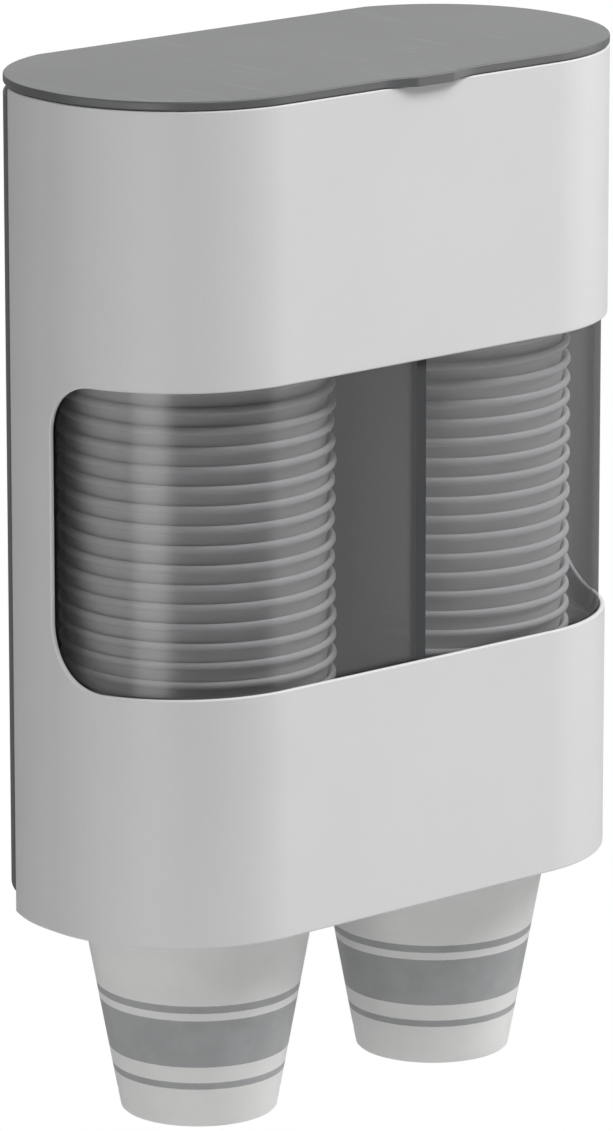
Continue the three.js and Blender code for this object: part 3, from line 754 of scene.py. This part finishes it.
class BuildCover(bpy.types.Operator):
    """Builds the dark rear cover with its keyholes, screw wells and hinge ears"""

    bl_idname = "dispenser.build_cover"
    bl_label = "Rear cover"

    def ear(self, x, foot):
        """An ear that holds one of the lid's hinge pins."""
        x0, x1 = x - 1.5 * MM, x + 1.5 * MM
        ear = rod("ear", HINGE_Y, HINGE_Z, x0, x1, 1.4 * MM)
        add(ear, block("web", x0, x1, HINGE_Y - 1.4 * MM, HINGE_Y + 1.4 * MM, foot, HINGE_Z))
        cut(ear, rod("bore", HINGE_Y, HINGE_Z, x0 - 1.5 * MM, x1 + 1.5 * MM, HINGE_BORE))
        return round_edges(ear, 0.15 * MM)

    def execute(self, context):
        s = sizes()
        low, high = COVER_LOW.z, BOTTOM + 219.2 * MM
        front = -s.cover_depth + 0.3 * MM
        skin = ring("rear_cover_moulding", 0, s.wall, low, high)
        share(skin, block("limit", -FAR, FAR, front, FAR, low - MM, high + MM))
        for z in DIVIDER_SCREW_ZS:
            add(skin, peg("well", 0, z, -4.4 * MM, -0.2 * MM, 5 * MM, 56))
        for z in DIVIDER_SCREW_ZS:
            pocket = peg("pocket", 0, z, -s.wall, MM, 3.2 * MM, 48)
            cut(skin, pocket, peg("pilot", 0, z, -5.4 * MM, 0, SCREW_HOLE, 32))
        y0 = -s.wall - MM
        z0 = TOP - 35.3 * MM
        z1 = z0 + 9 * MM
        neck = 2.3 * MM
        for x in (-ROW_X, ROW_X):
            cut(
                skin,
                peg("keyhole", x, z0, y0, MM, 4.5 * MM, 56),
                block("slot", x - neck, x + neck, y0, MM, z0, z1),
                peg("neck", x, z1, y0, MM, neck, 40),
            )
        round_edges(skin, s.edge)
        lip_low, lip_high = BOTTOM + 10 * MM, TOP - 7.3 * MM
        lip = ring("lip", s.wall + 0.3 * MM, s.wall + 1.8 * MM, lip_low, lip_high)
        share(lip, block("limit", -FAR, FAR, -s.cover_depth - 6 * MM, -s.cover_depth + 4.5 * MM, low, high))
        round_edges(lip, s.fine_edge)
        root = ring("root", s.wall - 0.3 * MM, s.wall + 1.7 * MM, lip_low, lip_high)
        share(root, block("limit", -FAR, FAR, front + 0.6 * MM, -s.cover_depth + 4.4 * MM, low, high))
        forms = [skin, lip, root]
        for row in SIDES.values():
            forms += guide_ribs(row, -guide_reach(-ROW_Y), 0.2 * MM - s.wall, BOTTOM + 26 * MM)
            forms += [base_boss(row, BASE_SCREW_YS[1]), self.ear(row * HINGE_X, high - 12 * MM)]
        piece = smooth(merge("rear_cover_moulding", forms))
        dress(piece, dark_abs())
        fit(piece, "housing", "back_cover")
        return {"FINISHED"}


class BuildDivider(bpy.types.Operator):
    """Builds the wall between the two rows"""

    bl_idname = "dispenser.build_divider"
    bl_label = "Divider"

    def execute(self, context):
        low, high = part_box("divider")
        wall = block("divider_moulding", -MM, MM, low.y, high.y, low.z, high.z)
        for y0, y1 in ((low.y, low.y + 1.8 * MM), (high.y - 1.8 * MM, high.y)):
            add(wall, block("flange", -1.5 * MM, 1.5 * MM, y0, y1, low.z, high.z))
        for z in DIVIDER_SCREW_ZS:
            add(wall, peg("boss", 0, z, high.y - 9 * MM, high.y, 3.2 * MM, 40))
            cut(wall, peg("pilot", 0, z, high.y - 7 * MM, high.y + MM, SCREW_HOLE, 24))
        for y in CLAMP_SCREW_YS:
            cut(wall, post("head_room", 0, y, low.z - MM, low.z + 2 * MM, 2.9 * MM, 32))
        round_edges(wall, 0.15 * MM)
        smooth(wall)
        look = (tuple(colours().divider), 0.1, 0.002 * MM, 1.0)
        dress(wall, finish_called("polished_divider_abs", moulded_abs, *look))
        fit(wall, "housing", "divider")
        return {"FINISHED"}


class BuildFloor(bpy.types.Operator):
    """Builds the floor of the housing, the clamp plate over it and the claw rings between them"""

    bl_idname = "dispenser.build_floor"
    bl_label = "Floor and claw rings"

    def discs(self, name, z0, z1, radius):
        """A disc under each row, as solids or as tools for the mouths."""
        return [post(name, x, ROW_Y, z0, z1, radius, 128) for x in (-ROW_X, ROW_X)]

    def clamp_screws(self):
        """Each screw's place, and the wall that its boss has round the hole."""
        end = HALF_WIDTH - sizes().wall - 3.6 * MM
        middle = [(0, y, 1.4 * MM) for y in CLAMP_SCREW_YS]
        return [*middle, (-end, ROW_Y, MM), (end, ROW_Y, MM)]

    def plate(self):
        low, floor_top = BASE_LOW.z, BASE_LOW.z + 2.4 * MM
        plate = stadium("floor_moulding", sizes().wall + 0.3 * MM, low, floor_top)
        add(plate, *self.discs("collar", low, BOTTOM + 16.8 * MM, row_room() + 1.9 * MM))
        for x, y, wall in self.clamp_screws():
            boss_low, boss_high = low + 2.2 * MM, BOTTOM + 18.9 * MM
            add(plate, post("boss", x, y, boss_low, boss_high, SCREW_HOLE + wall, 40))
        cut(plate, *self.discs("mouth", low - MM, TOP, row_room()))
        for x, y, _ in self.clamp_screws():
            cut(plate, post("pilot", x, y, floor_top, TOP, SCREW_HOLE, 24))
        for x in (-BASE_SCREW_X, BASE_SCREW_X):
            for y in BASE_SCREW_YS:
                cut(plate, post("hole", x, y, low - MM, floor_top + MM, SCREW_HOLE, 32))
        round_edges(plate, 0.2 * MM)
        smooth(plate)
        dress(plate, light_abs())
        fit(plate, "housing", "base_plate")

    def clamp(self):
        z0, z1 = CLAMP_LOW.z, CLAMP_HIGH.z
        clamp = add(*self.discs("clamp_moulding", z0, z1, ROW_Y - FRONT - sizes().wall - 0.4 * MM))
        add(clamp, block("bridge", -18 * MM, 18 * MM, FRONT + 6 * MM, -6 * MM, z0, z1))
        for x, y, _ in self.clamp_screws()[2:]:
            add(clamp, post("lug", x, y, z0, z1, 3 * MM, 40))
        cut(clamp, *self.discs("mouth", z0 - MM, z1 + MM, row_room()))
        for x, y, _ in self.clamp_screws():
            cut(clamp, post("hole", x, y, z0 - MM, z1 + MM, SCREW_HOLE, 32))
        round_edges(clamp, 0.35 * MM, relay=True)
        smooth(clamp)
        dress(clamp, dark_abs())
        fit(clamp, "housing", "clamp_plate")

    def claw_ring(self, name, side):
        """A soft ring whose twelve petals dip a little towards their beaded tips."""
        z0, z1 = CLAW_LOW.z, CLAW_HIGH.z
        tip, root, rim = 35.3 * MM, 38.2 * MM, 39.1 * MM
        profile = [
            (rim, z0 + 0.2 * MM),
            (rim, z1 - 0.2 * MM),
            (rim - 0.2 * MM, z1),
            (root - 0.2 * MM, z1),
            (root - 1.2 * MM, z1 - 0.35 * MM),
            (tip + 1.0 * MM, z1 - 0.3 * MM),
            (tip + 0.5 * MM, z1 - 0.12 * MM),
            (tip + 0.15 * MM, z1 - 0.35 * MM),
            (tip, z1 - 0.8 * MM),
            (tip + 0.2 * MM, z1 - 1.25 * MM),
            (tip + 0.8 * MM, z1 - 1.4 * MM),
            (root - 1.2 * MM, z0 + 0.35 * MM),
            (root - 0.2 * MM, z0),
            (rim - 0.2 * MM, z0),
            (rim, z0 + 0.2 * MM),
        ]
        petals = 12
        piece = turned(name + "_silicone_claws", profile, 144)
        for petal in range(petals):
            slit = block("slit", 30 * MM, root, -0.4 * MM, 0.4 * MM, z0 - MM, z1 + MM)
            cut(piece, place(slit, Matrix.Rotation(2 * math.pi * petal / petals, 4, "Z")))
        place(piece, Matrix.Translation((side * ROW_X, ROW_Y, 0)))
        for x, y, wall in self.clamp_screws():
            if abs(x - side * ROW_X) < 45 * MM:
                cut(piece, post("boss_room", x, y, z0 - MM, z1 + MM, SCREW_HOLE + wall + 0.3 * MM, 40))
        round_edges(piece, 0.15 * MM, 2, 50)
        smooth(piece, 40)
        dress(piece, finish_called("moulded_silicone", moulded_silicone, tuple(colours().rings)))
        fit(piece, "housing", name + "_claw_ring")

    def execute(self, context):
        self.plate()
        self.clamp()
        for name, side in SIDES.items():
            self.claw_ring(name, side)
        return {"FINISHED"}


class BuildLid(bpy.types.Operator):
    """Builds the lid with its finger lip, rim, ribs and hinge knuckles"""

    bl_idname = "dispenser.build_lid"
    bl_label = "Lid"

    def lip_share(self, x):
        """How far out the finger lip stands at x, as a share of its reach."""
        s = sizes()
        away = abs(x - s.lip_centre) / (s.lip_width / 2)
        return 0.0 if away >= 1 else min(1.0, (0.5 + 0.5 * math.cos(math.pi * away)) * 1.35)

    def draw_lip(self, plate, low, high):
        """Draws the finger lip out of the plate's front face, step by step along x."""
        s = sizes()
        x0 = s.lip_centre - s.lip_width / 2
        steps = 30
        near = 0.05 * MM
        with editing(plate):
            for step in range(steps + 1):
                x = x0 + s.lip_width * step / steps
                bpy.ops.mesh.select_all(action="SELECT")
                bpy.ops.mesh.bisect(plane_co=(x, 0, 0), plane_no=(1, 0, 0), threshold=1e-7)
            form = bmesh.from_edit_mesh(plate.data)
            on_front = {round(vert.co.x, 6) for vert in form.verts if abs(vert.co.y - FRONT) < near}
            for x in sorted(on_front):
                out = self.lip_share(x)
                if out <= 0:
                    continue
                for drop, level in ((0, high), (s.lip_drop, low)):
                    corner = Vector((x, FRONT, level))
                    choose(plate, "VERT", lambda vert: (vert.co - corner).length < near)
                    bpy.ops.transform.translate(value=(0, -out * s.lip_reach, -out * drop))

    def execute(self, context):
        s = sizes()
        low, high = HINGE_Z, LID_HIGH.z
        plate = stadium("lid_moulding", 0, low, high)
        cut(plate, block("rear", -FAR, FAR, LID_HIGH.y, FAR, low - MM, high + MM))
        clean(plate)
        self.draw_lip(plate, low, high)
        round_edges(plate, 0.45 * MM)
        rim_end = -31 * MM
        rim = ring("rim", s.wall + 0.5 * MM, s.wall + 1.9 * MM, LID_LOW.z, low + 0.2 * MM)
        share(rim, block("limit", -FAR, FAR, FRONT - MM, rim_end, LID_LOW.z - MM, high))
        forms = [plate, round_edges(rim, s.fine_edge)]
        half, inset = 0.6 * MM, s.wall + 1.2 * MM
        reach = HALF_WIDTH - inset
        outlines = [(-reach, reach, MIDDLE_Y - half, MIDDLE_Y + half)]
        outlines += [(x - half, x + half, FRONT + inset, rim_end) for x in (-26 * MM, 0, 26 * MM)]
        for outline in outlines:
            forms.append(round_edges(block("rib", *outline, low - 2 * MM, low + 0.2 * MM), 0.2 * MM))
        slots = []
        for x in (-HINGE_X, HINGE_X):
            for part in (-1, 1):
                inner, outer = sorted((x + part * 1.8 * MM, x + part * 8 * MM))
                knuckle = rod("knuckle", HINGE_Y, HINGE_Z, inner, outer, 1.7 * MM)
                cut(knuckle, rod("bore", HINGE_Y, HINGE_Z, inner - MM, outer + MM, HINGE_BORE))
                forms.append(round_edges(knuckle, 0.15 * MM))
            # A thin skin of the lid stays over each ear of the cover.
            top = HINGE_Z + 1.7 * MM
            slots.append(block("slot", x - 1.8 * MM, x + 1.8 * MM, HINGE_Y - 1.7 * MM, MM, LID_LOW.z, top))
            slots.append(rod("bore", HINGE_Y, HINGE_Z, x - 9 * MM, x + 9 * MM, HINGE_BORE))
        cut(plate, *slots)
        piece = smooth(merge("lid_moulding", forms))
        dress(piece, lid_abs())
        fit(piece, "lid", "lid")
        return {"FINISHED"}


# Cups


def wall_radius(height):
    """Radius of a cup's outer wall at a height over its foot."""
    c = cup_sizes()
    top = c.rim_radius - c.rim_width + c.paper
    return c.foot_radius + (top - c.foot_radius) * height / c.height


def cup_profile(fine):
    """A rolled-foot paper cup from the middle of its underside to the middle of its floor."""
    c = cup_sizes()
    paper = c.paper
    recess = c.pitch - paper - 0.3 * MM
    skirt = c.foot_radius - 2 * paper
    points = [
        (0, recess),
        (skirt - 0.4 * MM, recess),
        (skirt, recess - 0.4 * MM),
        (skirt, 0.3 * MM),
        (skirt + 0.3 * MM, 0),
        (c.foot_radius - 0.3 * MM, 0),
        (c.foot_radius, 0.3 * MM),
        # The foot is pressed on, so the wall draws in over it.
        (wall_radius(recess - 0.6 * MM), recess - 0.6 * MM),
        (wall_radius(recess) - 0.12 * MM, recess + 0.1 * MM),
        (wall_radius(recess + 1.2 * MM), recess + 1.2 * MM),
    ]
    if not fine:
        points = [points[0], points[2], points[4], points[6], points[9]]
    bead_low = c.height - c.rim_height
    middle_radius = c.rim_radius - c.rim_width / 2
    middle_height = c.height - c.rim_height / 2
    points.append((wall_radius(bead_low - 0.3 * MM), bead_low - 0.3 * MM))
    count = 14 if fine else 9
    for step in range(count + 1):
        angle = math.radians(-150 + 310 * step / count)
        across, up = c.rim_width / 2 * math.cos(angle), c.rim_height / 2 * math.sin(angle)
        points.append((middle_radius + across, middle_height + up))
    floor = recess + paper
    points += [
        (wall_radius(bead_low - 1 * MM) - paper, bead_low - 1 * MM),
        (wall_radius(floor + 0.8 * MM) - paper, floor + 0.8 * MM),
        (wall_radius(floor) - paper - 0.7 * MM, floor),
        (0, floor),
    ]
    return points


def dress_cups(piece, name, foot, centre_x):
    """Prints the outside of a cup or a row, and gives the faces that look at its axis a plain lining."""
    look = (tuple(colours().paper), tuple(colours().print), foot, centre_x)
    dress(
        piece,
        finish_called(name + "_board", coated_board, *look, True),
        finish_called(name + "_lining", coated_board, *look, False),
    )
    axis = Vector((centre_x, ROW_Y, 0))
    for face in piece.data.polygons:
        away = (face.center - axis).to_2d()
        if away.length > 1e-4 and away.dot(face.normal.to_2d()) < 0:
            face.material_index = 1


class BuildLowestCups(bpy.types.Operator):
    """Builds the cup that hangs out under each row"""

    bl_idname = "dispenser.build_lowest_cups"
    bl_label = "Lowest cups"

    def execute(self, context):
        foot = CUP_HIGH.z - cup_sizes().height
        profile = [(radius, foot + height) for radius, height in cup_profile(True)]
        for name, side in SIDES.items():
            cup = turned(name + "_lowest_paper_cup", profile, 112, (side * ROW_X, ROW_Y))
            smooth(cup, 50)
            dress_cups(cup, name + "_cup", foot, side * ROW_X)
            fit(cup, name + "_lowest_cup", name + "_bottom_cup")
        return {"FINISHED"}


class BuildStacks(bpy.types.Operator):
    """Nests the rest of the cups in each row, each a hair off true as a loaded sleeve is"""

    bl_idname = "dispenser.build_stacks"
    bl_label = "Nested rows"

    def execute(self, context):
        c = cup_sizes()
        lowest = CUP_HIGH.z - c.height + c.pitch
        model = turned("cup_model", cup_profile(False), 64)
        whole = turned("whole_cup_model", cup_profile(True), 80)
        for number, (name, side) in enumerate(SIDES.items()):
            stray = random.Random(40 + number).uniform
            row = []
            for level in range(c.count - 1):
                first_or_last = level in (0, c.count - 2)
                cup = copy_of(whole if first_or_last else model, "nested_cup")
                off = 0 if first_or_last else c.jitter
                turn = Euler((stray(-off, off) * 6, stray(-off, off) * 6, stray(0, 6)))
                rise = lowest + level * c.pitch + (0 if first_or_last else stray(-0.08, 0.08) * MM)
                spot = Vector((side * ROW_X + stray(-off, off), ROW_Y + stray(-off, off), rise))
                place(cup, Matrix.Translation(spot) @ turn.to_matrix().to_4x4())
                row.append(cup)
            stack = smooth(merge(name + "_nested_paper_cups", row), 50)
            dress_cups(stack, name + "_nested", lowest, side * ROW_X)
            fit(stack, name + "_stack", name + "_cup_stack")
        bpy.data.objects.remove(model)
        bpy.data.objects.remove(whole)
        return {"FINISHED"}


class BuildFasteners(bpy.types.Operator):
    """Builds the self-tapping screws and the hinge pins"""

    bl_idname = "dispenser.build_fasteners"
    bl_label = "Screws and pins"

    head = 1.7 * MM

    def screw(self):
        """A pan-head screw with a cross recess, its head's underside at the origin, pointing down."""
        profile = [(0, -9 * MM), (0.35 * MM, -8.8 * MM)]
        height = -8.2 * MM
        while height < -0.8 * MM:
            profile += [(1.0 * MM, height), (1.3 * MM, height + 0.3 * MM), (1.0 * MM, height + 0.6 * MM)]
            height += 0.9 * MM
        profile += [
            (1.15 * MM, 0),
            (2.45 * MM, 0),
            (2.6 * MM, 0.15 * MM),
            (2.55 * MM, 0.75 * MM),
            (2.2 * MM, 1.3 * MM),
            (1.5 * MM, 1.6 * MM),
            (0, self.head),
        ]
        screw = turned("screw_model", profile, 40)
        for turn in (0, math.pi / 2):
            slot = block("slot", -1.4 * MM, 1.4 * MM, -0.3 * MM, 0.3 * MM, 0.7 * MM, 2 * MM)
            cut(screw, place(slot, Matrix.Rotation(turn, 4, "Z")))
        return smooth(screw, 40)

    def execute(self, context):
        steel = finish_called("zinc_plated_steel", plated_steel, tuple(colours().steel))
        model = self.screw()
        nodes = [node for node in sorted(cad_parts) if "screw" in node]
        for number, node in enumerate(nodes):
            low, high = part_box(node)
            spot, tilt = (low + high) / 2, 0
            if node.startswith("clamp"):
                spot.z = high.z - self.head
            elif node.startswith("base"):
                spot.z, tilt = low.z + self.head, math.pi
            else:
                spot.y, tilt = high.y - self.head, -math.pi / 2
            twin = copy_of(model, node + "_steel")
            turn = Euler((tilt, 0, 0)).to_matrix().to_4x4()
            spun = Matrix.Rotation(0.7 + 1.9 * number, 4, "Z")
            place(twin, Matrix.Translation(spot) @ turn @ spun)
            dress(twin, steel)
            fit(twin, "housing", node)
        bpy.data.objects.remove(model)
        for name in SIDES:
            low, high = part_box(name + "_hinge_pin")
            middle = (low + high) / 2
            pin = rod(name + "_pin_steel", middle.y, middle.z, low.x, high.x, 0.6 * MM)
            round_edges(pin, 0.15 * MM)
            smooth(pin)
            dress(pin, steel)
            fit(pin, "housing", name + "_hinge_pin")
        return {"FINISHED"}


# Stage

# Each softbox with its place, width, height and power in watts. The flat of the window mirrors
# the veil panel evenly, and the lid mirrors the back panel.
SOFTBOXES = (
    ("key_softbox", (1.75, -1.05, 1.55), 1.0, 1.2, 31.5),
    ("top_softbox", (0.2, -1.3, 1.95), 1.8, 1.0, 41.5),
    ("right_softbox", (2.2, -0.6, 0.4), 1.0, 2.0, 8.5),
    ("left_softbox", (-2.17, 0.26, 0.2), 1.4, 2.0, 11.5),
    ("low_softbox", (-1.86, -1.02, -0.4), 0.95, 0.9, 8),
    ("veil_panel", (1.6, -1.46, -0.51), 1.4, 1.3, 7),
    ("back_panel", (1.35, 1.55, 0.8), 2.4, 1.5, 7.5),
)

# The world's strength as light, in mirrors, to the camera, and to the camera through the window,
# where the backdrop is painted shade: it is dimmed to a mid grey.
AMBIENT, MIRRORED, SEEN, SHADED_THROUGH_WINDOW = 0.055, 0.3, 1.0, 0.17

# The camera as fitted to the photograph.
TARGET = Vector((-0.00079, -0.0440, -0.02632))
AZIMUTH, ELEVATION, ROLL = math.radians(-40.849), math.radians(13.944), math.radians(-0.046)
DISTANCE = 1.94147
LENS = 230.895


def matt_paint(node, place_on, rgb):
    """Matt paint with very faint clouds."""
    clouds = node("TexNoise", {"Vector": place_on, "Scale": 6.0, "Detail": 3.0})
    tone = node("Mix", {0: clouds, 6: shade(rgb, 0.99), 7: shade(rgb)}, **IN_COLOUR)
    return node("BsdfPrincipled", {"Base Color": tone, "Roughness": 0.8})


class BuildStage(bpy.types.Operator):
    """Lays the pale floor, hangs the soft lights and sets the camera"""

    bl_idname = "dispenser.build_stage"
    bl_label = "Stage"

    def lay_floor(self):
        deselect()
        bpy.ops.mesh.primitive_circle_add(
            vertices=96, radius=1.1, fill_type="NGON", location=(0, -0.05, -0.6)
        )
        floor = named("pale_floor")
        with editing(floor):
            bpy.ops.mesh.inset(thickness=0.05, depth=0)
        dress(floor, finish_called("pale_floor_paint", matt_paint, linear("#F4F4F4")))

    def hang_lights(self):
        """Softboxes that face the middle of the body."""
        for name, spot, width, height, power in SOFTBOXES:
            deselect()
            bpy.ops.object.light_add(type="AREA", location=spot)
            lamp = bpy.context.object
            lamp.name = name
            lamp.data.shape = "RECTANGLE"
            lamp.data.size = width
            lamp.data.size_y = height
            lamp.data.energy = power
            lamp.visible_camera = False
            towards = Vector((0, MIDDLE_Y, 0)) - Vector(spot)
            lamp.rotation_euler = towards.to_track_quat("-Z", "Y").to_euler()

    def set_world(self, context):
        world = bpy.data.worlds.new("white_studio")
        context.scene.world = world
        world.use_nodes = True
        world.node_tree.nodes.clear()
        node = partial(add_node, world.node_tree)
        ray = node("LightPath").outputs
        behind = node("Math", {0: ray["Transparent Depth"], 1: 0.5}, operation="GREATER_THAN")
        # Behind the window the backdrop is painted shade, a mid grey instead of white.
        backdrop = node("Mix", {0: behind, 2: SEEN, 3: SHADED_THROUGH_WINDOW}, data_type="FLOAT")
        direct = node("Math", {0: ray["Is Camera Ray"], 1: ray["Is Transmission Ray"]}, operation="MAXIMUM")
        dim = node("Background", {"Color": WHITE, "Strength": AMBIENT})
        mirrored = node("Background", {"Color": WHITE, "Strength": MIRRORED})
        seen = node("Background", {"Color": WHITE, "Strength": backdrop})
        indirect = node("MixShader", {0: ray["Is Glossy Ray"], 1: dim, 2: mirrored})
        node("OutputWorld", {"Surface": node("MixShader", {0: direct, 1: indirect, 2: seen})})

    def set_camera(self, context):
        level = math.cos(ELEVATION)
        back = Vector((math.sin(AZIMUTH) * level, -math.cos(AZIMUTH) * level, math.sin(ELEVATION)))
        deselect()
        bpy.ops.object.camera_add(location=TARGET + DISTANCE * back)
        camera = bpy.context.object
        camera.name = "photo_camera"
        aim = (-back).to_track_quat("-Z", "Y").to_matrix().to_4x4()
        camera.rotation_euler = (aim @ Matrix.Rotation(ROLL, 4, "Z")).to_euler()
        camera.data.lens = LENS
        camera.data.sensor_width = 36
        camera.data.clip_start = 0.05
        camera.data.clip_end = 50
        context.scene.camera = camera

    def execute(self, context):
        self.lay_floor()
        self.hang_lights()
        self.set_world(context)
        self.set_camera(context)
        context.scene.view_settings.view_transform = "Standard"
        return {"FINISHED"}


PARTS = (
    BuildStage,
    BuildShell,
    BuildWindow,
    BuildCover,
    BuildDivider,
    BuildFloor,
    BuildLid,
    BuildLowestCups,
    BuildStacks,
    BuildFasteners,
)


class DispenserPanel(bpy.types.Panel):
    """Lists the pieces of the dispenser"""

    bl_idname = "VIEW3D_PT_dispenser"
    bl_label = "Cup dispenser"
    bl_space_type = "VIEW_3D"
    bl_region_type = "UI"
    bl_category = "Cup dispenser"

    def draw(self, context):
        for part in PARTS:
            self.layout.operator(part.bl_idname)
        for group in (sizes(), cup_sizes(), colours()):
            box = self.layout.box()
            for name in group.__annotations__:
                box.prop(group, name)


GROUPS = (DispenserSizes, CupSizes, DispenserColours)


def register():
    for item in (*GROUPS, *PARTS, DispenserPanel):
        bpy.utils.register_class(item)
    bpy.types.Scene.dispenser_sizes = bpy.props.PointerProperty(type=DispenserSizes)
    bpy.types.Scene.dispenser_cups = bpy.props.PointerProperty(type=CupSizes)
    bpy.types.Scene.dispenser_colours = bpy.props.PointerProperty(type=DispenserColours)


def unregister():
    del bpy.types.Scene.dispenser_colours
    del bpy.types.Scene.dispenser_cups
    del bpy.types.Scene.dispenser_sizes
    for item in (DispenserPanel, *reversed(PARTS), *reversed(GROUPS)):
        bpy.utils.unregister_class(item)


def main():
    register()
    for part in PARTS:
        step = part.bl_idname.split(".")[1]
        getattr(bpy.ops.dispenser, step)()


if __name__ == "__main__":
    main()
